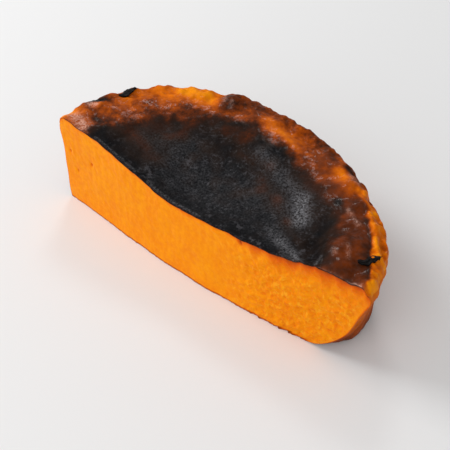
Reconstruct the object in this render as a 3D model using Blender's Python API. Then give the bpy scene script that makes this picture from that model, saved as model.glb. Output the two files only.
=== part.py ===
"""Half of a burnt pumpkin cheesecake, cut straight across and resting on its base.

The cake was baked in a round tin lined with creased paper, so its outline is uneven and its rim
stands up in lobes round a sunken middle. The cut face looks along -Y, the cut runs along X, and the
origin is under the middle of the piece, on the surface that it rests on. Lengths are in metres.
"""

import math

import bmesh
import bpy
from mathutils import Matrix, Vector, noise

# Outline and height, read every 22.5 degrees round the middle of the cut, from its +X end to its -X end.
STATION_STEP = 22.5
RIM_RADIUS = (0.0740, 0.0685, 0.0613, 0.0597, 0.0594, 0.0650, 0.0700, 0.0744, 0.0746)
RIM_HEIGHT = (0.0384, 0.0381, 0.0385, 0.0380, 0.0396, 0.0400, 0.0407, 0.0413, 0.0412)
FOOT_TUCK = (0.0115, 0.0026, 0.0022, 0.0060, 0.0060, 0.0055, 0.0040, 0.0025, 0.0012)

# The sunken middle, and where it starts and ends as shares of the radius.
MIDDLE_HEIGHT = 0.032
SUNK_FROM = 0.10
SUNK_TO = 0.90

# The browned rim turns over a soft shoulder and swells out a little below it.
SHOULDER_WIDTH = 0.0040
SHOULDER_DROP = 0.0032
SWELL = 0.0013
SWELL_LEVEL = 0.93
SWELL_SPREAD = 0.12

# Below this height the side turns in under the cake, partly slanted and for the rest round.
FOOT_RISE = 0.032
FOOT_SLANT = 0.25

# The foot is drawn in further at the +X end of the cut, over this many degrees.
CORNER_TUCK = 0.0105
CORNER_SPREAD = 5.2

# The soft cut face bows out between the two ends of the cut, more at its foot than at its top.
BOW_TOP = 0.0030
BOW_FOOT = 0.0050
BOW_CURVE = 1.6

# Uneven relief: creases that the lining paper left down the side, lumps along the rim, and broad
# waves of the top. Each has the distance between its ups and downs, and its height.
CREASE_SIZE = 0.010
CREASE_DEPTH = 0.0011
LUMP_SIZE = 0.008
LUMP_HEIGHT = 0.0018
LUMPS_FROM = 0.72
LUMPS_FULL = 0.92
WAVE_SIZE = 0.024
WAVE_HEIGHT = 0.0012

# Blisters and lobes of the burnt rim: (angle, share of the radius, spread, height).
BLISTERS = (
    (167.0, 0.92, 0.0035, 0.0016),
    (120.0, 0.87, 0.0040, 0.0015),
    (112.0, 0.96, 0.0045, 0.0010),
    (62.0, 0.90, 0.0042, 0.0012),
    (47.0, 0.92, 0.0040, 0.0014),
    (27.0, 0.79, 0.0042, 0.0012),
    (11.0, 0.74, 0.0048, 0.0014),
    (5.0, 0.60, 0.0040, -0.0009),
    (2.5, 0.965, 0.0032, 0.0020),
)

# Two flakes of charred skin stuck to the rim: (angle, share of the radius, turn, length, width).
FLAKES = ((156.5, 0.950, 80.0, 0.0084, 0.0034), (10.2, 0.940, 52.0, 0.0082, 0.0034))
FLAKE_THICKNESS = 0.0016
FLAKE_CURL = 0.0007
FLAKE_BEND = 0.15  # sideways, as a share of the width

# How finely the block is divided along the cut, across it and up it, and how far its rings are drawn
# out towards the rim, where the shape turns most.
CELLS_ALONG = 52
CELLS_ACROSS = 26
CELLS_UP = 12
RING_DRAW = 0.75

# The middle of the piece, measured from the middle of the cut.
FOOTPRINT_MIDDLE = (-0.0002, 0.0288)

# Edges that turn by more than this, in degrees, stay sharp.
SHARP_TURN = 40


def at_station(column, angle):
    """A smooth curve through the values of one column, read at an angle in degrees."""
    last = len(column) - 1
    place = angle / STATION_STEP
    index = min(int(place), last - 1)
    share = place - index
    start, end = column[index], column[index + 1]
    before = column[index - 1] if index > 0 else 2 * start - end
    after = column[index + 2] if index + 2 <= last else 2 * end - start
    bend = 3 * (start - end) + after - before
    slope = 2 * before - 5 * start + 4 * end - after
    return start + 0.5 * share * (end - before + share * (slope + share * bend))


def smooth_step(low, high, value):
    share = min(max((value - low) / (high - low), 0.0), 1.0)
    return share * share * (3 - 2 * share)


def on_plan(angle, reach):
    turn = math.radians(angle)
    return Vector((reach * math.cos(turn), reach * math.sin(turn)))


def unevenness(spot, size, height):
    """Smooth random ups and downs, the same on every run."""
    return height * noise.noise(Vector((spot.x / size, spot.y / size, 0.0)))


def outline_radius(angle):
    radius = at_station(RIM_RADIUS, angle)
    return radius + unevenness(on_plan(angle, radius), CREASE_SIZE, CREASE_DEPTH)


def top_height(share, angle):
    """The height of the top at a share of the radius: sunken middle, crest, then the shoulder."""
    radius = outline_radius(angle)
    spot = on_plan(angle, share * radius)
    rise = smooth_step(SUNK_FROM, SUNK_TO, share)
    height = MIDDLE_HEIGHT + (at_station(RIM_HEIGHT, angle) - MIDDLE_HEIGHT) * rise
    height += unevenness(spot, WAVE_SIZE, WAVE_HEIGHT)
    height += unevenness(spot, LUMP_SIZE, LUMP_HEIGHT) * smooth_step(LUMPS_FROM, LUMPS_FULL, share)
    for blister_angle, blister_share, spread, size in BLISTERS:
        middle = on_plan(blister_angle, blister_share * outline_radius(blister_angle))
        height += size * math.exp(-(((spot - middle).length / spread) ** 2))
    over = (share - 1) * radius / SHOULDER_WIDTH + 1
    if over > 0:
        height -= SHOULDER_DROP * (1 - math.sqrt(max(1 - over * over, 0.0)))
    return height


def side_radius(level, angle):
    """The radius of the side at a share of its height: tucked in at the foot, swollen below the rim."""
    fall = max(1 - level * top_height(1.0, angle) / FOOT_RISE, 0.0)
    tuck = at_station(FOOT_TUCK, angle) + CORNER_TUCK * math.exp(-((angle / CORNER_SPREAD) ** 2))
    tuck *= FOOT_SLANT * fall + (1 - FOOT_SLANT) * (1 - math.sqrt(1 - fall * fall))
    swell = SWELL * math.exp(-(((level - SWELL_LEVEL) / SWELL_SPREAD) ** 2))
    return outline_radius(angle) - tuck + swell


def bow(level, along):
    """How far the cut face stands out at a distance along the cut."""
    share = min(abs(along) / RIM_RADIUS[0], 1.0)
    size = BOW_FOOT + (BOW_TOP - BOW_FOOT) * level
    return size * (1 - share * share) ** BOW_CURVE


def cake_point(across, depth, level):
    """A cell corner of the square block, moved to its place in the half round of the cake.

    across runs from -1 to 1 along the cut, depth from 0 at the cut to 1 at the back, and level from
    0 at the base to 1 at the top. Squares round the middle of the cut become rings of the outline.
    """
    ring = max(abs(across), depth)
    share = ring**RING_DRAW
    if ring == 0:
        angle = 90.0
    elif abs(across) >= depth:
        angle = 45 * depth / ring
        if across < 0:
            angle = 180 - angle
    else:
        angle = 90 - 45 * across / depth
    plan = on_plan(angle, share * side_radius(level, angle))
    plan.y -= bow(level, plan.x) * (1 - depth) ** 2
    return Vector((plan.x, plan.y, level * top_height(share, angle)))


def material(name, colour, roughness):
    made = bpy.data.materials.new(name)
    made.use_nodes = True
    shader = made.node_tree.nodes["Principled BSDF"]
    shader.inputs["Base Color"].default_value = (*colour, 1.0)
    shader.inputs["Roughness"].default_value = roughness
    shader.inputs["Metallic"].default_value = 0.0
    return made


def add_object(name, bm, finish=None):
    mesh = bpy.data.meshes.new(name)
    bm.to_mesh(mesh)
    bm.free()
    if finish:
        mesh.materials.append(finish)
    thing = bpy.data.objects.new(name, mesh)
    bpy.context.scene.collection.objects.link(thing)
    return thing


def divided_block():
    """A unit cube cut into cells: along X, then along Y, then up Z."""
    bm = bmesh.new()
    bmesh.ops.create_cube(bm, size=1.0)
    for axis, cells in enumerate((CELLS_ALONG, CELLS_ACROSS, CELLS_UP)):
        edges = [
            edge
            for edge in bm.edges
            if abs(edge.verts[0].co[axis] - edge.verts[1].co[axis]) > 0.5
        ]
        bmesh.ops.subdivide_edges(bm, edges=edges, cuts=cells - 1, use_grid_fill=True)
    return bm


def cake_body():
    """The block bent into the half cake, with its flat base as one face."""
    bm = divided_block()
    base = [face for face in bm.faces if face.normal.z < -0.5]
    bmesh.ops.dissolve_faces(bm, faces=base, use_verts=True)
    for vert in bm.verts:
        corner = vert.co
        vert.co = cake_point(2 * corner.x, corner.y + 0.5, corner.z + 0.5)
        vert.co.xy -= Vector(FOOTPRINT_MIDDLE)
    bmesh.ops.triangulate(bm, faces=bm.faces)
    bmesh.ops.recalc_face_normals(bm, faces=bm.faces)
    return bm


def char_flake(angle, share, turn, length, width):
    """A thin lens of charred skin, curled along its length and pressed into the rim."""
    bm = bmesh.new()
    bmesh.ops.create_icosphere(bm, subdivisions=2, radius=0.5)
    bmesh.ops.scale(bm, vec=(length, width, FLAKE_THICKNESS), verts=bm.verts)
    for vert in bm.verts:
        vert.co.z += FLAKE_CURL * (2 * vert.co.x / length) ** 2
        vert.co.y += FLAKE_BEND * width * math.sin(math.tau * vert.co.x / length)
    spot = on_plan(angle, share * outline_radius(angle)) - Vector(FOOTPRINT_MIDDLE)
    bmesh.ops.rotate(bm, matrix=Matrix.Rotation(math.radians(turn), 3, "Z"), verts=bm.verts)
    bmesh.ops.translate(bm, vec=(spot.x, spot.y, top_height(share, angle)), verts=bm.verts)
    return bm


def join(cake, extras):
    """One union makes the cake and every object of the collection one solid, which the cake keeps."""
    union = cake.modifiers.new("char_flakes", "BOOLEAN")
    union.operation = "UNION"
    union.operand_type = "COLLECTION"
    union.collection = extras
    union.solver = "EXACT"
    graph = bpy.context.evaluated_depsgraph_get()
    joined = bpy.data.meshes.new_from_object(cake.evaluated_get(graph))
    cake.modifiers.clear()
    cake.data = joined
    for extra in list(extras.objects):
        bpy.data.objects.remove(extra, do_unlink=True)
    bpy.data.collections.remove(extras)


def main():
    for thing in list(bpy.data.objects):
        bpy.data.objects.remove(thing, do_unlink=True)

    cake = add_object("cheesecake", cake_body(), material("baked_custard", (0.82, 0.32, 0.035), 0.5))
    flakes = bpy.data.collections.new("char_flakes")
    bpy.context.scene.collection.children.link(flakes)
    for number, flake in enumerate(FLAKES, start=1):
        piece = add_object(f"char_flake_{number}", char_flake(*flake))
        bpy.context.scene.collection.objects.unlink(piece)
        flakes.objects.link(piece)

    join(cake, flakes)
    cake.data.shade_smooth()
    cake.data.set_sharp_from_angle(angle=math.radians(SHARP_TURN))


main()
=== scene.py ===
import math

import bmesh
import bpy
from mathutils import Matrix, Vector, noise


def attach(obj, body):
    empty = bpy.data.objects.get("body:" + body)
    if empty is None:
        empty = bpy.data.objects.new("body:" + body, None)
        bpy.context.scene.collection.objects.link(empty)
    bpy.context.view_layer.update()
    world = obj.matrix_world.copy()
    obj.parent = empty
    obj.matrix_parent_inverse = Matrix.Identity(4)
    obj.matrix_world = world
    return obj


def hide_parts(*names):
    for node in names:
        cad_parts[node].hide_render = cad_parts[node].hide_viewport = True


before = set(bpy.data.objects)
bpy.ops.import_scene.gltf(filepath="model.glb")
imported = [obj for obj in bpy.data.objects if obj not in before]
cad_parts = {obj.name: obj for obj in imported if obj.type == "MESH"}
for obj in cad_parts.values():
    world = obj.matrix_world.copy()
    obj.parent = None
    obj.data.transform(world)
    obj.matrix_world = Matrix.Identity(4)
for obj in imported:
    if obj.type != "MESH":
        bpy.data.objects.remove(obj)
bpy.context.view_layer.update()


# Baked half: one block of pumpkin custard, baked in a round tin lined with creased paper and cut
# straight across. The middle sank and burnt black, the rim set higher and caramelised, and the cut
# shows the smooth orange custard under a thin dark skin. It is one piece, so it is one mesh.

STATION_STEP = 22.5  # degrees, from the +X end of the cut round the back to the -X end
RIM_RADIUS = (0.0740, 0.0685, 0.0613, 0.0597, 0.0594, 0.0650, 0.0700, 0.0744, 0.0746)
RIM_HEIGHT = (0.0384, 0.0381, 0.0385, 0.0380, 0.0396, 0.0400, 0.0407, 0.0413, 0.0412)
FOOT_TUCK = (0.0115, 0.0026, 0.0022, 0.0060, 0.0060, 0.0055, 0.0040, 0.0025, 0.0012)

# The sunken middle, and where it starts and ends as shares of the radius.
MIDDLE_HEIGHT = 0.032
SUNK_FROM = 0.10
SUNK_TO = 0.90

# The browned rim turns over a soft shoulder and swells out a little below it.
SHOULDER_WIDTH = 0.0040
SHOULDER_DROP = 0.0032
SWELL = 0.0013
SWELL_LEVEL = 0.93
SWELL_SPREAD = 0.12

# Below this height the side turns in under the cake, partly slanted and for the rest round.
FOOT_RISE = 0.032
FOOT_SLANT = 0.25

# The foot is drawn in further at the +X end of the cut, over this many degrees.
CORNER_TUCK = 0.0105
CORNER_SPREAD = 5.2

# The soft cut face bows out between the two ends of the cut, more at its foot than at its top.
BOW_TOP = 0.0030
BOW_FOOT = 0.0050
BOW_CURVE = 1.6

# Broad unevenness: creases that the lining paper left down the side, lumps along the rim, and waves
# of the top. Each has the distance between its ups and downs, and its height.
CREASE_SIZE = 0.010
CREASE_DEPTH = 0.0011
LUMP_SIZE = 0.008
LUMP_HEIGHT = 0.0018
LUMPS_FROM = 0.72
LUMPS_FULL = 0.92
WAVE_SIZE = 0.024
WAVE_HEIGHT = 0.0012

# Blisters and lobes of the burnt rim: (angle, share of the radius, spread, height).
BLISTERS = (
    (167.0, 0.92, 0.0035, 0.0016),
    (120.0, 0.87, 0.0040, 0.0015),
    (112.0, 0.96, 0.0045, 0.0010),
    (62.0, 0.90, 0.0042, 0.0012),
    (47.0, 0.92, 0.0040, 0.0014),
    (27.0, 0.79, 0.0042, 0.0012),
    (11.0, 0.74, 0.0048, 0.0014),
    (5.0, 0.60, 0.0040, -0.0009),
    (2.5, 0.965, 0.0032, 0.0020),
)

# Every mark below runs from one place of the plan to another: (x, y, x, y, spread, amount), in metres
# from the middle of the cut. These are the smaller folds and hollows of the skin, by their height.
FOLDS = (
    (0.0350, 0.0085, 0.0415, 0.0032, 0.0008, 0.00055),
    (0.0415, 0.0032, 0.0490, -0.0016, 0.0008, 0.00060),
    (0.0506, 0.0070, 0.0525, -0.0008, 0.0008, 0.00055),
    (0.0545, 0.0150, 0.0585, 0.0050, 0.0045, 0.00200),
    (0.0443, 0.0095, 0.0482, 0.0038, 0.0024, -0.00125),
    (0.0430, 0.0190, 0.0455, 0.0120, 0.0024, -0.00090),
    (0.0400, 0.0200, 0.0443, 0.0095, 0.0030, -0.00050),
    (0.0620, 0.0090, 0.0665, -0.0005, 0.0012, -0.00050),
    (0.0530, 0.0085, 0.0550, 0.0068, 0.0008, 0.00030),
    (0.0560, 0.0130, 0.0592, 0.0082, 0.0010, 0.00035),
    (0.0440, 0.0295, 0.0520, 0.0248, 0.0012, 0.00045),
    (-0.0665, 0.0085, -0.0600, 0.0030, 0.0022, 0.00060),
    (0.0460, 0.0368, 0.0545, 0.0293, 0.0011, 0.00090),
    (0.0575, 0.0265, 0.0668, 0.0160, 0.0011, 0.00090),
    (0.0470, 0.0390, 0.0565, 0.0308, 0.0010, -0.00090),
    (0.0600, 0.0276, 0.0682, 0.0172, 0.0010, -0.00080),
)

# Marks on the cut, in distance along it and height: a faint ridge, pores, and crumbs under the skin.
KNIFE_MARKS = (
    (0.0259, 0.0093, 0.0486, 0.0166, 0.0010, 0.00040),
    (-0.0707, 0.0251, -0.0705, 0.0255, 0.0007, -0.00060),
    (-0.0579, 0.0244, -0.0577, 0.0250, 0.0007, -0.00060),
    (-0.0672, 0.0165, -0.0672, 0.0170, 0.0007, -0.00050),
    (0.0212, 0.0310, 0.0216, 0.0306, 0.0007, -0.00070),
    (0.0577, 0.0126, 0.0582, 0.0120, 0.0008, -0.00035),
    (0.0604, 0.0109, 0.0612, 0.0112, 0.0007, -0.00035),
    (0.0520, 0.0160, 0.0524, 0.0157, 0.0007, -0.00030),
    (-0.0059, 0.0296, -0.0030, 0.0298, 0.0009, 0.00050),
    (0.0016, 0.0298, 0.0030, 0.0300, 0.0008, 0.00050),
    (0.0089, 0.0300, 0.0110, 0.0300, 0.0009, 0.00045),
)

FOOTPRINT_MIDDLE = Vector((-0.0002, 0.0288))

# How finely the block is divided, and how far its rings are drawn out towards the rim.
CELLS_ALONG = 300
CELLS_ACROSS = 140
CELLS_UP = 58
RING_DRAW = 0.85
TINY = 1e-6
CORNER_EDGE = 0.001  # the two upright edges of the cut, as a share of the radius
SHARP_TURN = 50  # degrees past which an edge stays sharp

# The cut skin is a thin layer that stands a little proud of the custard below it, with a wavy edge.
SKIN_THICKNESS = 0.0006
SKIN_STEP = 0.0002
SKIN_PROUD = 0.0003
SKIN_PROUD_SIZE = 0.009
SKIN_WAVE = 0.00020
SKIN_WAVE_SIZE = 0.0050

# Fine relief. Each layer has the distance between its ups and downs, its height, and a seed.
DRY_PLACES = (0.011, 1.0, 2.0)
DRY_WRINKLES = (0.0013, 0.00014, 3.0)
WRINKLES = ((0.0060, 0.00045, 6.0), (0.0028, 0.00020, 1.0))
BUBBLES = ((0.0056, 0.00028, 7.0), (0.0017, 0.00011, 5.0))
RIM_FOLDS = ((0.0042, 1.0, 9.0), (0.0019, 0.5, 4.0))
RIM_FOLD_BACK = 0.0009
RIM_FOLD_END = 0.0018
RIM_FOLD_TURN = (60.0, 25.0)  # degrees over which the folds grow from the back to the +X end

# Fine creases of the side: the distance between them round it and up it, and their depth.
SIDE_CREASES = ((0.0022, 0.009, 0.00055), (0.0055, 0.020, 0.0009))

# Relief of the cut: a broad wave, the drag of the knife, and crumbs that grow towards the +X end.
CUT_WAVE_SIZE = 0.011
CUT_WAVE = 0.00040
DRAG_SIZE = 0.0018
DRAG_LENGTH = 0.008
DRAG = 0.00008
CRUMBS = ((0.0028, 0.00080), (0.0013, 0.00070))
CRUMBS_ALONG = (0.012, 0.040)
CRUMBS_LEFT = 0.18  # what is left of them on the smooth side
CRUMBS_BELOW = 0.004  # they fade out over this height under the skin

# Where the fine relief fades, as shares of the radius.
MIDDLE_CALM = 0.02
SHOULDER_CALM = 0.985
CUT_END_CALM = 0.97
CREASES_FROM = 0.90

# How burnt the skin is, from 0 for plain custard to 1 for black, at the same stations: where the
# black middle ends, the tone round it, where the browned skin ends, and the tone outside that.
BLACK_REACH = (0.70, 0.735, 0.765, 0.73, 0.745, 0.765, 0.735, 0.75, 0.78)
INNER_TONE = (0.70, 0.69, 0.62, 0.54, 0.48, 0.58, 0.44, 0.50, 0.50)
SKIN_REACH = (0.968, 0.908, 0.915, 0.90, 0.88, 0.88, 0.84, 0.87, 0.90)
OUTER_TONE = (0.20, 0.20, 0.34, 0.56, 0.56, 0.56, 0.24, 0.40, 0.34)
SKIN_EDGE_SOFT = (0.010, 0.010, 0.030, 0.06, 0.06, 0.06, 0.06, 0.06, 0.05)

# The edge of the black wanders and fades, and the outer edge of the skin wanders less. Each layer has
# the distance between its changes, and how far it goes as a share of the radius.
EDGE_WANDER = ((0.0090, 0.045), (0.0030, 0.022))
SKIN_WANDER = 0.3
BLACK_FADE_IN = 0.065
BLACK_FADE_OUT = 0.055

# The black thins to a brown ring near its edge, over these shares and degrees.
RING_TONE = 0.10
RING_SHARES = (0.52, 0.66)
RING_ANGLES = (75.0, 50.0)

# Brown mottles in the black, away from the cut and from the +X end.
MOTTLES = (0.0075, 1.0, 3.0)
MOTTLE_LIFT = 0.1
MOTTLE_TONE = 0.20
MOTTLE_DEPTH = (0.006, 0.022)
MOTTLE_ALONG = (0.028, 0.000)

# A thin dark line where the skin ends at the +X end.
LINE_TONE = 0.16
LINE_WIDTH = 0.012
LINE_ANGLES = (52.0, 40.0)

# Clouds of the caramel, by the distance between them and the change of tone, and how much painted
# light a raised crinkle of the rim gets, and painted shade its groove, per metre of its height.
CARAMEL_CLOUDS = ((0.0080, 0.14), (0.0030, 0.10))
CRINKLE_LIGHT_AND_SHADE = 160.0

# Patches that took more or less heat than the skin round them, by the change of tone, and one of
# painted shade in the valley beside the lobe at the +X end. In the black only a small part of it shows.
PATCH_IN_BLACK = 0.2
PATCHES = (
    (-0.0461, 0.0459, -0.0375, 0.0485, 0.0045, -0.22),
    (-0.0100, 0.0512, 0.0060, 0.0452, 0.0032, -0.26),
    (0.0290, 0.0450, 0.0385, 0.0385, 0.0026, -0.34),
    (-0.0320, 0.0520, -0.0265, 0.0485, 0.0028, 0.20),
    (-0.0240, 0.0540, -0.0140, 0.0560, 0.0022, 0.10),
    (0.0100, 0.0555, 0.0230, 0.0510, 0.0024, 0.12),
    (0.0300, 0.0485, 0.0390, 0.0450, 0.0018, 0.30),
    (-0.0715, 0.0150, -0.0690, 0.0190, 0.0028, 0.42),
    (-0.0690, 0.0160, -0.0668, 0.0183, 0.0020, 0.30),
    (-0.0645, 0.0110, -0.0615, 0.0080, 0.0016, 0.14),
    (-0.0605, 0.0085, -0.0558, 0.0122, 0.0022, 0.30),
    (-0.0745, 0.0000, -0.0745, 0.0045, 0.0030, -0.40),
    (0.0385, 0.0305, 0.0380, 0.0315, 0.0022, 0.34),
    # Darker valley beside the lobe at the +X end: painted shade.
    (0.0415, 0.0200, 0.0500, 0.0010, 0.0032, 0.36),
    (0.0480, 0.0175, 0.0500, 0.0120, 0.0026, 0.08),
    (0.0580, 0.0060, 0.0590, 0.0150, 0.0034, -0.05),
    (0.0640, 0.0080, 0.0660, -0.0005, 0.0020, 0.04),
    (0.0715, 0.0000, 0.0735, 0.0040, 0.0022, -0.25),
    (-0.0700, 0.0055, -0.0620, 0.0030, 0.0030, -0.04),
)

# Brown bands in the black middle, where the skin burnt less, by the change of tone.
BANDS = (
    (0.0110, 0.0385, 0.0330, 0.0320, 0.0030, -0.07),
    (0.0086, 0.0255, 0.0190, 0.0215, 0.0034, -0.09),
    (0.0190, 0.0215, 0.0291, 0.0150, 0.0030, -0.09),
    (0.0291, 0.0150, 0.0389, 0.0080, 0.0026, -0.08),
    (-0.0520, 0.0115, -0.0330, 0.0095, 0.0056, -0.12),
    (-0.0500, 0.0195, -0.0355, 0.0300, 0.0050, -0.10),
    (-0.0435, 0.0192, -0.0342, 0.0207, 0.0056, -0.08),
    (-0.0300, 0.0360, -0.0120, 0.0400, 0.0060, -0.11),
    (-0.0050, 0.0330, 0.0060, 0.0300, 0.0050, -0.08),
)

# Tones of the cut: browned just under the skin, deeper at the +X end, with painted shade in the pores
# and a dark foot.
# The skin's own edge is a little darker than its top, but never quite black.
CUT_BROWN = 0.44
CUT_BROWN_DEPTH = 0.0012
CUT_BROWN_MORE = 0.0014
CUT_BROWN_ALONG = (0.010, 0.045)
CUT_BROWN_WAVE = 0.9
CUT_BROWN_WAVE_SIZE = 0.005
CUT_BROWN_CURVE = 1.2
CUT_GLOW = 0.15
CUT_GLOW_DEPTH = 0.009
CUT_FOOT = 0.62
CUT_FOOT_RISE = (0.0009, 0.0002)
PORE_PAINTED_SHADE = 500.0  # per metre of a pore's depth
SKIN_EDGE_DARKER = 0.3
SKIN_EDGE_DARKEST = 0.86

# Tones of the side: amber below the rim, browner and more worn at the foot.
SIDE_TONE = 0.30
SIDE_FROM = 0.80
SIDE_FOOT_TONE = 0.58
SIDE_FOOT_RISE = 0.65
SIDE_WEAR = 0.12
SIDE_WEAR_SIZE = 0.004
SIDE_WEAR_LENGTH = 0.010

# How much duller the bare rim is than the caramel.
RIM_DULL = 0.7

# Pale grey dry bloom with a painted sheen on the black, and painted highlights and glints on the caramel
# and the skin's cut edge, by their strength.
DUST_AND_HIGHLIGHTS = (
    (0.0265, 0.0262, 0.0330, 0.0175, 0.0029, 1.10),
    (0.0000, 0.0365, 0.0210, 0.0285, 0.0032, 0.34),
    (0.0279, 0.0089, 0.0330, 0.0059, 0.0026, 0.36),
    (0.0330, 0.0059, 0.0440, 0.0005, 0.0018, 0.55),
    (0.0400, 0.0045, 0.0480, -0.0010, 0.0010, 0.40),
    (-0.0200, 0.0120, 0.0240, 0.0180, 0.0120, 0.16),
    (-0.0400, 0.0150, -0.0260, 0.0240, 0.0060, 0.12),
    (-0.0325, 0.0520, -0.0300, 0.0490, 0.0010, 0.55),
    (-0.0270, 0.0500, -0.0262, 0.0478, 0.0008, 0.55),
    (0.0512, 0.0045, 0.0525, -0.0005, 0.0005, 0.50),
    (0.0530, 0.0085, 0.0552, 0.0068, 0.0007, 0.50),
    (0.0560, 0.0130, 0.0595, 0.0080, 0.0007, 0.45),
    (0.0445, 0.0292, 0.0521, 0.0246, 0.0010, 0.45),
    (0.0335, 0.0462, 0.0385, 0.0428, 0.0012, 0.60),
    # Painted highlights on the left lump and corner, and painted glints along the cut edge of the skin.
    (-0.0702, 0.0128, -0.0674, 0.0132, 0.0014, 1.40),
    (-0.0540, 0.0007, -0.0310, 0.0007, 0.0004, 0.45),
    (-0.0250, 0.0007, 0.0020, 0.0007, 0.0004, 0.50),
    (-0.0700, 0.0034, -0.0614, 0.0015, 0.0020, 1.40),
    (0.0560, -0.0012, 0.0625, -0.0012, 0.0008, 2.00),
    (0.0650, -0.0010, 0.0700, -0.0004, 0.0008, 2.00),
)


def at_station(column, angle):
    """A smooth curve through the values of one column, read at an angle in degrees."""
    last = len(column) - 1
    place = angle / STATION_STEP
    index = min(int(place), last - 1)
    share = place - index
    start, end = column[index], column[index + 1]
    before = column[index - 1] if index > 0 else 2 * start - end
    after = column[index + 2] if index + 2 <= last else 2 * end - start
    bend = 3 * (start - end) + after - before
    slope = 2 * before - 5 * start + 4 * end - after
    return start + 0.5 * share * (end - before + share * (slope + share * bend))


def smooth_step(low, high, value):
    share = min(max((value - low) / (high - low), 0.0), 1.0)
    return share * share * (3 - 2 * share)


def between(start, end, share):
    return start + (end - start) * share


def on_plan(angle, reach):
    turn = math.radians(angle)
    return Vector((reach * math.cos(turn), reach * math.sin(turn)))


def unevenness(spot, size, height, seed=0.0):
    """Smooth random ups and downs, the same on every run."""
    return height * noise.noise(Vector((spot.x / size, spot.y / size, seed)))


def layered(layers, spot):
    """What several layers of unevenness add up to."""
    return sum(unevenness(spot, *layer) for layer in layers)


def outline_radius(angle):
    radius = at_station(RIM_RADIUS, angle)
    return radius + unevenness(on_plan(angle, radius), CREASE_SIZE, CREASE_DEPTH)


def runs(marks):
    """The marks as a start, a run, a spread and an amount."""
    return [
        (Vector((x1, y1)), Vector((x2 - x1, y2 - y1)), spread, amount)
        for x1, y1, x2, y2, spread, amount in marks
    ]


def added(marks, spot):
    """What the soft marks add up to at a spot."""
    total = 0.0
    for start, run, spread, amount in marks:
        along = min(max((spot - start).dot(run) / max(run.length_squared, 1e-9), 0.0), 1.0)
        away = (spot - start - along * run).length / spread
        if away < 3:
            total += amount * math.exp(-away * away)
    return total


blisters = []
for angle, share, spread, size in BLISTERS:
    blisters.append((on_plan(angle, share * outline_radius(angle)), Vector((0.0, 0.0)), spread, size))
folds = runs(FOLDS)
patches = runs(PATCHES)
bands = runs(BANDS)
dust_and_highlight_marks = runs(DUST_AND_HIGHLIGHTS)
knife_marks = runs(KNIFE_MARKS)


def top_height(share, angle, radius):
    """The height of the top: sunken middle, crest, then the shoulder."""
    spot = on_plan(angle, share * radius)
    rise = smooth_step(SUNK_FROM, SUNK_TO, share)
    height = MIDDLE_HEIGHT + (at_station(RIM_HEIGHT, angle) - MIDDLE_HEIGHT) * rise
    height += unevenness(spot, WAVE_SIZE, WAVE_HEIGHT)
    height += unevenness(spot, LUMP_SIZE, LUMP_HEIGHT) * smooth_step(LUMPS_FROM, LUMPS_FULL, share)
    height += added(blisters, spot)
    over = (share - 1) * radius / SHOULDER_WIDTH + 1
    if over > 0:
        height -= SHOULDER_DROP * (1 - math.sqrt(max(1 - over * over, 0.0)))
    return height


def side_radius(level, angle, radius, rim):
    """The radius of the side: tucked in at the foot, swollen below the rim."""
    fall = max(1 - level * rim / FOOT_RISE, 0.0)
    tuck = at_station(FOOT_TUCK, angle) + CORNER_TUCK * math.exp(-((angle / CORNER_SPREAD) ** 2))
    tuck *= FOOT_SLANT * fall + (1 - FOOT_SLANT) * (1 - math.sqrt(1 - fall * fall))
    swell = SWELL * math.exp(-(((level - SWELL_LEVEL) / SWELL_SPREAD) ** 2))
    return radius - tuck + swell


def bow(level, along):
    """How far the cut face stands out at a distance along the cut."""
    share = min(abs(along) / RIM_RADIUS[0], 1.0)
    size = BOW_FOOT + (BOW_TOP - BOW_FOOT) * level
    return size * (1 - share * share) ** BOW_CURVE


def row_level(row):
    """The share of the height of a row of cells. The top row is the thickness of the cut skin."""
    if row == CELLS_UP:
        return 1.0
    if row == CELLS_UP - 1:
        return 1 - SKIN_THICKNESS / MIDDLE_HEIGHT
    return (1 - (SKIN_THICKNESS + SKIN_STEP) / MIDDLE_HEIGHT) * row / (CELLS_UP - 2)


def crinkle(spot, angle):
    """The bare rim is crumpled, more at the +X end than at the back."""
    size = between(RIM_FOLD_BACK, RIM_FOLD_END, smooth_step(*RIM_FOLD_TURN, angle))
    return size * layered(RIM_FOLDS, spot)


def top_tone(share, angle, spot):
    """How burnt the skin is at a spot of the top, how far it is from black, and how much is bare rim."""
    wander = layered(EDGE_WANDER, spot)
    black_reach = at_station(BLACK_REACH, angle) + wander
    skin_reach = at_station(SKIN_REACH, angle) + SKIN_WANDER * wander
    soft = at_station(SKIN_EDGE_SOFT, angle)
    rim = smooth_step(skin_reach - soft, skin_reach + soft, share)
    browned = smooth_step(black_reach - BLACK_FADE_IN, black_reach + BLACK_FADE_OUT, share)
    mottle = max(unevenness(spot, *MOTTLES) + MOTTLE_LIFT, 0.0)
    mottle *= smooth_step(*MOTTLE_DEPTH, spot.y) * smooth_step(*MOTTLE_ALONG, spot.x)
    ring = smooth_step(*RING_SHARES, share) * smooth_step(*RING_ANGLES, angle)
    tone = 1.0 - RING_TONE * ring - MOTTLE_TONE * mottle
    tone = between(tone, at_station(INNER_TONE, angle), browned)
    tone = between(tone, at_station(OUTER_TONE, angle), rim)
    line = math.exp(-(((share - skin_reach) / LINE_WIDTH) ** 2)) * smooth_step(*LINE_ANGLES, angle)
    tone += LINE_TONE * line
    tone += added(patches, spot) * max(browned, PATCH_IN_BLACK) + added(bands, spot)
    tone += browned * layered(CARAMEL_CLOUDS, spot)
    # Painted light on the raised crinkles of the bare rim, painted shade in their grooves.
    tone -= CRINKLE_LIGHT_AND_SHADE * rim * crinkle(spot, angle)
    return tone, browned, rim


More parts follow.
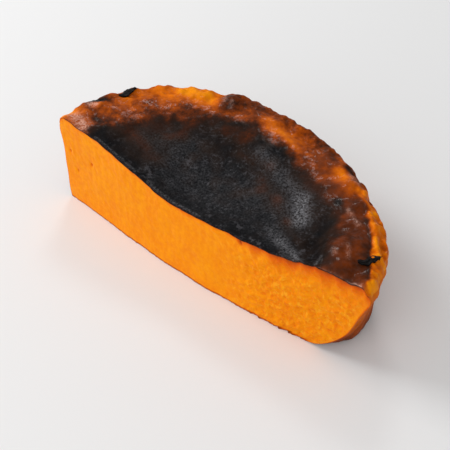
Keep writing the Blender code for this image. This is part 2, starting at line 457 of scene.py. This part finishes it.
def skin_relief(spot, browned, rim, share, angle):
    """Wrinkles of the dry black skin, round bubbles of the caramel, crinkles of the rim, and folds."""
    dry = 0.5 + unevenness(spot, *DRY_PLACES)
    wrinkle = dry * unevenness(spot, *DRY_WRINKLES) + layered(WRINKLES, spot)
    relief = between(wrinkle, layered(BUBBLES, spot), browned)
    relief = between(relief, crinkle(spot, angle), rim)
    return relief * smooth_step(0.0, MIDDLE_CALM, share) + added(folds, spot)


def crease(angle, radius, height):
    """The lining paper's creases run down the side, close together and shallow."""
    spot = on_plan(angle, radius)
    return sum(
        depth * noise.noise(Vector((spot.x / apart, spot.y / apart, height / length)))
        for apart, length, depth in SIDE_CREASES
    )


def cut_relief(along, height, below):
    """The knife left the cut smooth at the -X end and dragged small crumbs up at the +X end."""
    place = Vector((along, height, 0.0))
    wave = CUT_WAVE * noise.noise(place / CUT_WAVE_SIZE)
    drag = DRAG * noise.noise(Vector((along / DRAG_SIZE, height / DRAG_LENGTH, 2.0)))
    crumbs_and_highlights = sum(noise.noise(place / size) * rise for size, rise in CRUMBS)
    crumbs_and_highlights *= between(CRUMBS_LEFT, 1.0, smooth_step(*CRUMBS_ALONG, along))
    return wave + (drag + crumbs_and_highlights) * smooth_step(0.0, CRUMBS_BELOW, below)


def cut_tone(along, height, below, mark):
    """The custard is browned under the skin, darker at its foot, and darkened in its pores as painted
    shade.
    """
    towards_end = smooth_step(*CUT_BROWN_ALONG, along)
    depth = CUT_BROWN_DEPTH + CUT_BROWN_MORE * towards_end
    depth *= 1 + CUT_BROWN_WAVE * noise.noise(Vector((along / CUT_BROWN_WAVE_SIZE, 0.0, 1.0)))
    tone = CUT_BROWN * math.exp(-((below / depth) ** CUT_BROWN_CURVE))
    tone += CUT_FOOT * smooth_step(*CUT_FOOT_RISE, height)
    tone += CUT_GLOW * towards_end * math.exp(-below / CUT_GLOW_DEPTH)
    # Pits of the knife marks are darkened by their depth: painted shade.
    return tone - min(mark, 0.0) * PORE_PAINTED_SHADE


def side_tone(level, angle, plan, height):
    """The side is amber under the rim, and browner and worn at its foot."""
    wear = noise.noise(
        Vector((plan.x / SIDE_WEAR_SIZE, plan.y / SIDE_WEAR_SIZE, height / SIDE_WEAR_LENGTH))
    )
    tone = between(at_station(OUTER_TONE, angle), SIDE_TONE, smooth_step(1.0, SIDE_FROM, level))
    return between(tone, SIDE_FOOT_TONE, smooth_step(SIDE_FOOT_RISE, 0.0, level)) + SIDE_WEAR * wear


# A block cut into cells: along X, then along Y, then up Z. Its base is one face.
bm = bmesh.new()
bmesh.ops.create_cube(bm, size=1.0)
for axis, cells in enumerate((CELLS_ALONG, CELLS_ACROSS, CELLS_UP)):
    edges = [e for e in bm.edges if abs(e.verts[0].co[axis] - e.verts[1].co[axis]) > 0.5]
    bmesh.ops.subdivide_edges(bm, edges=edges, cuts=cells - 1, use_grid_fill=True)
bm.normal_update()
base = [face for face in bm.faces if face.normal.z < -0.5]
bmesh.ops.dissolve_faces(bm, faces=base, use_verts=True)
CUT, SKIN = 0, 1
skin_row = 0.5 - 1 / CELLS_UP
for face in bm.faces:
    face.smooth = True
    on_cut = face.normal.y < -0.5 and face.calc_center_median().z < skin_row
    face.material_index = CUT if on_cut else SKIN

# Each cell corner moves to its place in the half round. Squares round the middle of the cut become
# rings of the outline, and the row of the block gives the level between base and top.
burn_layer = bm.verts.layers.float.new("burn")
# This layer holds the grey dust and the painted highlights, glints and sheen of the top.
dust_and_highlight_layer = bm.verts.layers.float.new("bloom")
glaze_layer = bm.verts.layers.float.new("glaze")
for vert in bm.verts:
    across, depth = 2 * vert.co.x, vert.co.y + 0.5
    row = round((vert.co.z + 0.5) * CELLS_UP)
    level = row_level(row)
    ring = max(abs(across), depth)
    share = ring**RING_DRAW
    if ring < TINY:
        angle = 90.0
    elif abs(across) >= depth:
        angle = 45 * depth / ring
        if across < 0:
            angle = 180 - angle
    else:
        angle = 90 - 45 * across / depth
    radius = outline_radius(angle)
    spot = on_plan(angle, share * radius)
    tone, browned, rim = top_tone(share, angle, spot)
    at_rim = top_height(1.0, angle, radius)
    relief = skin_relief(spot, browned, rim, share, angle)
    top = top_height(share, angle, radius) + relief * smooth_step(1.0, SHOULDER_CALM, share)
    creased = crease(angle, radius, level * at_rim) * smooth_step(CREASES_FROM, 1.0, share)
    plan = on_plan(angle, share * (side_radius(level, angle, radius, at_rim) + creased))
    plan.y -= bow(level, plan.x) * (1 - depth) ** 2
    height = level * top
    on_cut = depth < TINY
    if on_cut:
        mark = added(knife_marks, Vector((plan.x, height)))
        raised = cut_relief(plan.x, height, top - height) + mark
        plan.y -= raised * smooth_step(1.0, CUT_END_CALM, share)
        if row >= CELLS_UP - 1:
            plan.y -= SKIN_PROUD * (1 + 0.5 * noise.noise(Vector((plan.x / SKIN_PROUD_SIZE, 0.0, 4.0))))
        if row == CELLS_UP - 1:
            height -= SKIN_WAVE * noise.noise(Vector((plan.x / SKIN_WAVE_SIZE, 0.0, 8.0)))
    if row == CELLS_UP:
        # Grey dust and painted highlights, glints and sheen, on the top only.
        vert[dust_and_highlight_layer] = min(added(dust_and_highlight_marks, spot), 1.0)
    else:
        if not on_cut or ring > 1 - CORNER_EDGE:
            tone = side_tone(level, angle, plan, height)
        elif row == CELLS_UP - 1:
            tone = min(tone + SKIN_EDGE_DARKER, SKIN_EDGE_DARKEST)
        else:
            tone = cut_tone(plan.x, height, top - height, mark)
        browned, rim = 0.0, 1.0
        vert[dust_and_highlight_layer] = 0.0
    vert[burn_layer] = min(max(tone, 0.0), 1.0)
    vert[glaze_layer] = browned * (1 - RIM_DULL * rim)
    vert.co = (plan.x - FOOTPRINT_MIDDLE.x, plan.y - FOOTPRINT_MIDDLE.y, height)
bmesh.ops.recalc_face_normals(bm, faces=bm.faces)
baked_mesh = bpy.data.meshes.new("baked_half")
bm.to_mesh(baked_mesh)
bm.free()
baked_mesh.set_sharp_from_angle(angle=math.radians(SHARP_TURN))
baked_half = bpy.data.objects.new("baked_half", baked_mesh)
bpy.context.scene.collection.objects.link(baked_half)


class Wire:
    """An output of a shader node that can be used in plain arithmetic."""

    def __init__(self, tree, socket=None):
        self.tree = tree
        self.socket = socket

    def node(self, kind, settings=None, sockets=None, output=0):
        """Adds a node, sets it up, feeds its sockets with values or wires, and gives one output."""
        made = self.tree.nodes.new(kind)
        for name, value in (settings or {}).items():
            if name == "stops":
                ramp = made.color_ramp
                while len(ramp.elements) < len(value):
                    ramp.elements.new(1.0)
                for element, (position, colour) in zip(ramp.elements, value):
                    element.position = position
                    element.color = colour
            else:
                setattr(made, name, value)
        for key, value in (sockets or {}).items():
            if isinstance(value, Wire):
                self.tree.links.new(value.socket, made.inputs[key])
            else:
                made.inputs[key].default_value = value
        return Wire(self.tree, made.outputs[output])

    def maths(self, operation, first, second=0.0):
        return self.node("ShaderNodeMath", {"operation": operation}, {0: first, 1: second})

    def __add__(self, other):
        return self.maths("ADD", self, other)

    def __sub__(self, other):
        return self.maths("SUBTRACT", self, other)

    def __rsub__(self, other):
        return self.maths("SUBTRACT", other, self)

    def __mul__(self, other):
        return self.maths("MULTIPLY", self, other)

    __radd__ = __add__
    __rmul__ = __mul__

    def held(self):
        """The value kept between 0 and 1."""
        return self.node("ShaderNodeClamp", None, {"Value": self})

    def stretched(self, low, high):
        """0 at low and below, 1 at high and above, smooth between."""
        settings = {"interpolation_type": "SMOOTHSTEP"}
        return self.node("ShaderNodeMapRange", settings, {0: self, 1: low, 2: high, 3: 0.0, 4: 1.0})

    def mixes(self, first, second):
        """The first colour where this value is 0, the second where it is 1."""
        return self.node("ShaderNodeMix", {"data_type": "RGBA"}, {0: self, 6: first, 7: second}, 2)

    def grain(self, place, size, detail=2.0, roughness=0.5):
        """Cloudy variation whose clouds are about as far apart as the size, in metres."""
        return self.node(
            "ShaderNodeTexNoise",
            None,
            {"Vector": place, "Scale": 1 / size, "Detail": detail, "Roughness": roughness},
        )

    def feeds(self, socket):
        self.tree.links.new(self.socket, socket)


def paint(red, green, blue):
    """A colour given as it looks, 0 to 255, as the shader takes it."""
    linear = [(c / 255) ** 2.2 for c in (red, green, blue)]
    return (*linear, 1.0)


def finish(name):
    """A new material, a wire to start its nodes from, and its shader."""
    material = bpy.data.materials.new(name)
    material.use_nodes = True
    shader = material.node_tree.nodes["Principled BSDF"]
    return material, Wire(material.node_tree), shader


# The custard is dense, moist and slightly see-through. It is smooth at the -X end and torn into pores
# and crumbs at the +X end, with painted shade in the pores and painted highlights on the crumbs, and it
# browns where the oven reached it.
custard, start, shader = finish("pumpkin_custard")
place = start.node("ShaderNodeTexCoord", None, None, "Object")
burn = start.node("ShaderNodeAttribute", {"attribute_name": "burn"}, None, "Fac")
along = start.node("ShaderNodeSeparateXYZ", None, {"Vector": place})
rough = along.stretched(0.000, 0.045) * 0.8 + 0.2  # a fifth of it is left at the -X end
clouds = start.grain(place, size=0.012, detail=2.0, roughness=0.5)
fine = start.grain(place, size=0.0016, detail=3.0, roughness=0.6)
drawn_up = start.node("ShaderNodeMapping", None, {"Vector": place, "Scale": (1.0, 1.0, 0.22)})
streaks = start.grain(drawn_up, size=0.0022, detail=2.0, roughness=0.5)
body = clouds * 0.2 + streaks * 0.3 + fine * 0.5
colour = body.stretched(0.35, 0.65).mixes(paint(241, 132, 0), paint(248, 152, 6))
# Pores of the +X end darkened as painted shade.
pores_painted_shade = start.grain(place, size=0.0023, detail=2.0, roughness=0.6).stretched(0.54, 0.64) * rough
colour = (pores_painted_shade * 0.38).mixes(colour, paint(222, 96, 0))
# Crumbs of the +X end made paler as painted highlights.
crumbs_and_highlights = start.grain(place, size=0.0019, detail=3.0, roughness=0.7).stretched(0.54, 0.66) * rough
colour = (crumbs_and_highlights * 0.50).mixes(colour, paint(255, 186, 50))
stain = (burn + (fine - 0.5) * 0.10 * burn.stretched(0.02, 0.2)).held()
browning = (
    (0.0, paint(250, 142, 12)),
    (0.3, paint(216, 92, 8)),
    (0.6, paint(110, 48, 10)),
    (0.8, paint(44, 12, 8)),
)
stained = start.node("ShaderNodeValToRGB", {"stops": browning}, {"Fac": stain})
colour = burn.stretched(0.0, 0.16).mixes(colour, stained)
colour.feeds(shader.inputs["Base Color"])
(0.42 + 0.16 * fine).feeds(shader.inputs["Roughness"])
height = (fine * 0.6 + start.grain(place, size=0.0006, detail=2.0, roughness=0.6) * 0.4) * rough
torn = start.node("ShaderNodeBump", None, {"Strength": 0.8, "Distance": 0.0006, "Height": height})
torn.feeds(shader.inputs["Normal"])
shader.inputs["Specular IOR Level"].default_value = 0.08
shader.inputs["Subsurface Weight"].default_value = 0.2
shader.inputs["Subsurface Radius"].default_value = (1.0, 0.35, 0.08)
shader.inputs["Subsurface Scale"].default_value = 0.003
baked_mesh.materials.append(custard)

# The skin runs from amber through caramel brown to black. Caramel is glossy and charred skin is dull.
skin, start, shader = finish("baked_skin")
place = start.node("ShaderNodeTexCoord", None, None, "Object")
burn = start.node("ShaderNodeAttribute", {"attribute_name": "burn"}, None, "Fac")
bloom = start.node("ShaderNodeAttribute", {"attribute_name": "bloom"}, None, "Fac")
glaze = start.node("ShaderNodeAttribute", {"attribute_name": "glaze"}, None, "Fac")
along = start.node("ShaderNodeSeparateXYZ", None, {"Vector": place})
fine = start.grain(place, size=0.0011, detail=3.0, roughness=0.6)
coarse = start.grain(place, size=0.0045, detail=2.0, roughness=0.5)
# Small flecks break up the edge of the black, except on the smooth lobes of the +X end.
partly = burn.stretched(0.30, 0.50) * (1.0 - burn.stretched(0.76, 0.90))
partly = partly * (1.0 - along.stretched(0.005, 0.035))
fleck = (start.grain(place, size=0.0019, detail=4.0, roughness=0.75) - 0.5) * partly * 0.6
tone = burn + (fine - 0.5) * 0.30 * (1.05 - burn) + (coarse - 0.5) * 0.12 + fleck
burning = (
    (0.0, paint(246, 144, 14)),
    (0.22, paint(218, 108, 12)),
    (0.42, paint(164, 74, 14)),
    (0.60, paint(110, 50, 18)),
    (0.76, paint(66, 35, 21)),
    (0.90, paint(39, 29, 24)),
    (1.0, paint(19, 19, 21)),
)
colour = start.node("ShaderNodeValToRGB", {"stops": burning}, {"Fac": tone.held()})
# Bloom is grey dust with a painted sheen on the black, and a warm painted highlight on the caramel.
dust_and_highlight_share = (bloom * start.grain(place, size=0.0008, detail=4.0, roughness=0.75).stretched(0.36, 0.66)).held()
dust_and_highlight_colour = burn.stretched(0.62, 0.90).mixes(paint(214, 158, 136), paint(118, 117, 120))
colour = dust_and_highlight_share.mixes(colour, dust_and_highlight_colour)
# Dry places of the black show grey dust specks and curls of painted highlight, fewer of them at the -X
# end.
charred = burn.stretched(0.80, 0.95)
dry = start.grain(place, size=0.0065, detail=3.0, roughness=0.6).stretched(0.36, 0.62)
dry = dry * (0.35 + 0.65 * along.stretched(-0.050, -0.020)) * charred
speck = start.grain(place, size=0.0012, detail=3.0, roughness=0.75).stretched(0.50, 0.66) * dry * 0.5
colour = speck.mixes(colour, paint(78, 77, 80))
highlight_curls = start.grain(place, size=0.0028, detail=3.0, roughness=0.75).stretched(0.55, 0.66) * dry * 0.4
colour = highlight_curls.mixes(colour, paint(92, 90, 94))
colour.feeds(shader.inputs["Base Color"])
(0.55 - 0.10 * glaze + 0.10 * (fine - 0.5)).held().feeds(shader.inputs["Roughness"])
wet = start.grain(place, size=0.0012, detail=2.0, roughness=0.7).stretched(0.42, 0.60)
(0.24 * glaze * wet).feeds(shader.inputs["Coat Weight"])
shader.inputs["Coat Roughness"].default_value = 0.14
shader.inputs["Specular IOR Level"].default_value = 0.035
height = fine * 0.7 + start.grain(place, size=0.0005, detail=2.0, roughness=0.6) * 0.3
grained = start.node("ShaderNodeBump", None, {"Strength": 0.35, "Distance": 0.0003, "Height": height})
grained.feeds(shader.inputs["Normal"])
baked_mesh.materials.append(skin)

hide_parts("cheesecake")
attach(baked_half, "root")


# Char flakes: two scraps of burnt skin that lifted, curled and stuck to the rim. Each is a thin
# crisp sheet with a ragged outline, pressed into the caramel at its middle.

# (angle, share of the radius, turn, length, width)
FLAKES = ((156.5, 0.950, 80.0, 0.0084, 0.0034), (10.2, 0.940, 52.0, 0.0082, 0.0034))
FLAKE_THICKNESS = 0.0007
FLAKE_CURL = 0.0007
FLAKE_BEND = 0.15  # sideways, as a share of the width
FLAKE_PROUD = 0.0007
FLAKE_RAGGED = 0.35
FLAKE_CRUMPLE = 0.0004
FLAKE_CROWN = 0.0004
CELLS_LONG = 36
CELLS_WIDE = 16
NOTCHES = 3.1  # how close together the notches of the outline are
CRUMPLES = (2.2, 1.4)  # how close together the crumples are, along a flake and across it

char, start, shader = finish("char")
place = start.node("ShaderNodeTexCoord", None, None, "Object")
fine = start.grain(place, size=0.0007, detail=3.0, roughness=0.6)
crisp = fine.stretched(0.4, 0.75).mixes(paint(7, 6, 8), paint(24, 14, 10))
crisp.feeds(shader.inputs["Base Color"])
(0.36 + 0.2 * fine).feeds(shader.inputs["Roughness"])
shader.inputs["Specular IOR Level"].default_value = 0.12
bubbled = start.node("ShaderNodeBump", None, {"Strength": 0.5, "Distance": 0.0003, "Height": fine})
bubbled.feeds(shader.inputs["Normal"])

bm = bmesh.new()
for number, (angle, share, turn, length, width) in enumerate(FLAKES):
    grid = bmesh.ops.create_grid(bm, x_segments=CELLS_LONG, y_segments=CELLS_WIDE, size=0.5)["verts"]
    radius = outline_radius(angle)
    spot = on_plan(angle, share * radius) - FOOTPRINT_MIDDLE
    rest = top_height(share, angle, radius) + FLAKE_PROUD
    for vert in grid:
        along, aside = 2 * vert.co.x, 2 * vert.co.y
        taper = math.sqrt(max(1 - along * along, 0.0))
        ragged = 1 + FLAKE_RAGGED * noise.noise(Vector((along * NOTCHES, number * 5.0, 1.0)))
        place = Vector((along * CRUMPLES[0], aside * CRUMPLES[1], number * 3.0))
        crumple = FLAKE_CRUMPLE * noise.noise(place)
        bend = FLAKE_BEND * width * math.sin(math.pi * along)
        vert.co.x = 0.5 * length * along
        vert.co.y = 0.5 * width * aside * taper * ragged + bend
        vert.co.z = FLAKE_CURL * along * along + crumple - FLAKE_CROWN * aside * aside
    bmesh.ops.rotate(bm, matrix=Matrix.Rotation(math.radians(turn), 3, "Z"), verts=grid)
    bmesh.ops.translate(bm, vec=(spot.x, spot.y, rest), verts=grid)
bmesh.ops.remove_doubles(bm, verts=bm.verts, dist=0.00002)
bmesh.ops.recalc_face_normals(bm, faces=bm.faces)
bmesh.ops.solidify(bm, geom=bm.faces[:], thickness=FLAKE_THICKNESS)
for face in bm.faces:
    face.smooth = True
flake_mesh = bpy.data.meshes.new("char_flakes")
bm.to_mesh(flake_mesh)
bm.free()
flake_mesh.materials.append(char)
char_flakes = bpy.data.objects.new("char_flakes", flake_mesh)
bpy.context.scene.collection.objects.link(char_flakes)
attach(char_flakes, "root")


# Floor: a plain pale sheet, much wider than the cake, which lies level under it and shows only the
# cake's own soft shadow.
FLOOR_HALF = 3.0
bm = bmesh.new()
bmesh.ops.create_grid(bm, x_segments=1, y_segments=1, size=FLOOR_HALF)
floor_mesh = bpy.data.meshes.new("floor")
bm.to_mesh(floor_mesh)
bm.free()
floor = bpy.data.objects.new("floor", floor_mesh)
bpy.context.scene.collection.objects.link(floor)
pale, start, shader = finish("pale_floor")
shader.inputs["Base Color"].default_value = paint(236, 236, 236)
shader.inputs["Roughness"].default_value = 0.7
floor_mesh.materials.append(pale)


# Camera: above the cake and to the right of the cut, looking down at it through a long lens, so that
# the cut and the whole burnt top both show.
CAMERA_PLACE = Vector((0.1890, -0.2358, 0.2712))
CAMERA_DIRECTION = Vector((-0.4879, 0.5713, -0.6600))
lens = bpy.data.cameras.new("camera")
lens.lens = 80.0
lens.sensor_width = 36.0
lens.clip_start = 0.01
camera = bpy.data.objects.new("camera", lens)
camera.location = CAMERA_PLACE
camera.rotation_euler = CAMERA_DIRECTION.to_track_quat("-Z", "Y").to_euler()
bpy.context.scene.collection.objects.link(camera)
bpy.context.scene.camera = camera


# Light: a pale room, a large soft window on the left, a weaker one behind, and a fill in front. Each
# window is given by its place, its size in metres and its power in watts.
ROOM_STRENGTH = 0.46
WINDOWS = (
    ("window_left", (-0.88, -0.20, 0.68), 0.55, 6.0),
    ("window_back", (-0.45, 0.55, 0.75), 0.22, 1.3),
    ("fill_front", (0.15, -0.95, 0.50), 0.90, 4.4),
)
world = bpy.data.worlds.new("studio")
world.use_nodes = True
world.node_tree.nodes["Background"].inputs["Color"].default_value = (1.0, 1.0, 1.0, 1.0)
world.node_tree.nodes["Background"].inputs["Strength"].default_value = ROOM_STRENGTH
bpy.context.scene.world = world
for name, spot, size, power in WINDOWS:
    light = bpy.data.lights.new(name, "AREA")
    light.energy = power
    light.size = size
    window = bpy.data.objects.new(name, light)
    window.location = spot
    window.rotation_euler = (-Vector(spot)).to_track_quat("-Z", "Y").to_euler()
    bpy.context.scene.collection.objects.link(window)
bpy.context.scene.view_settings.view_transform = "Standard"
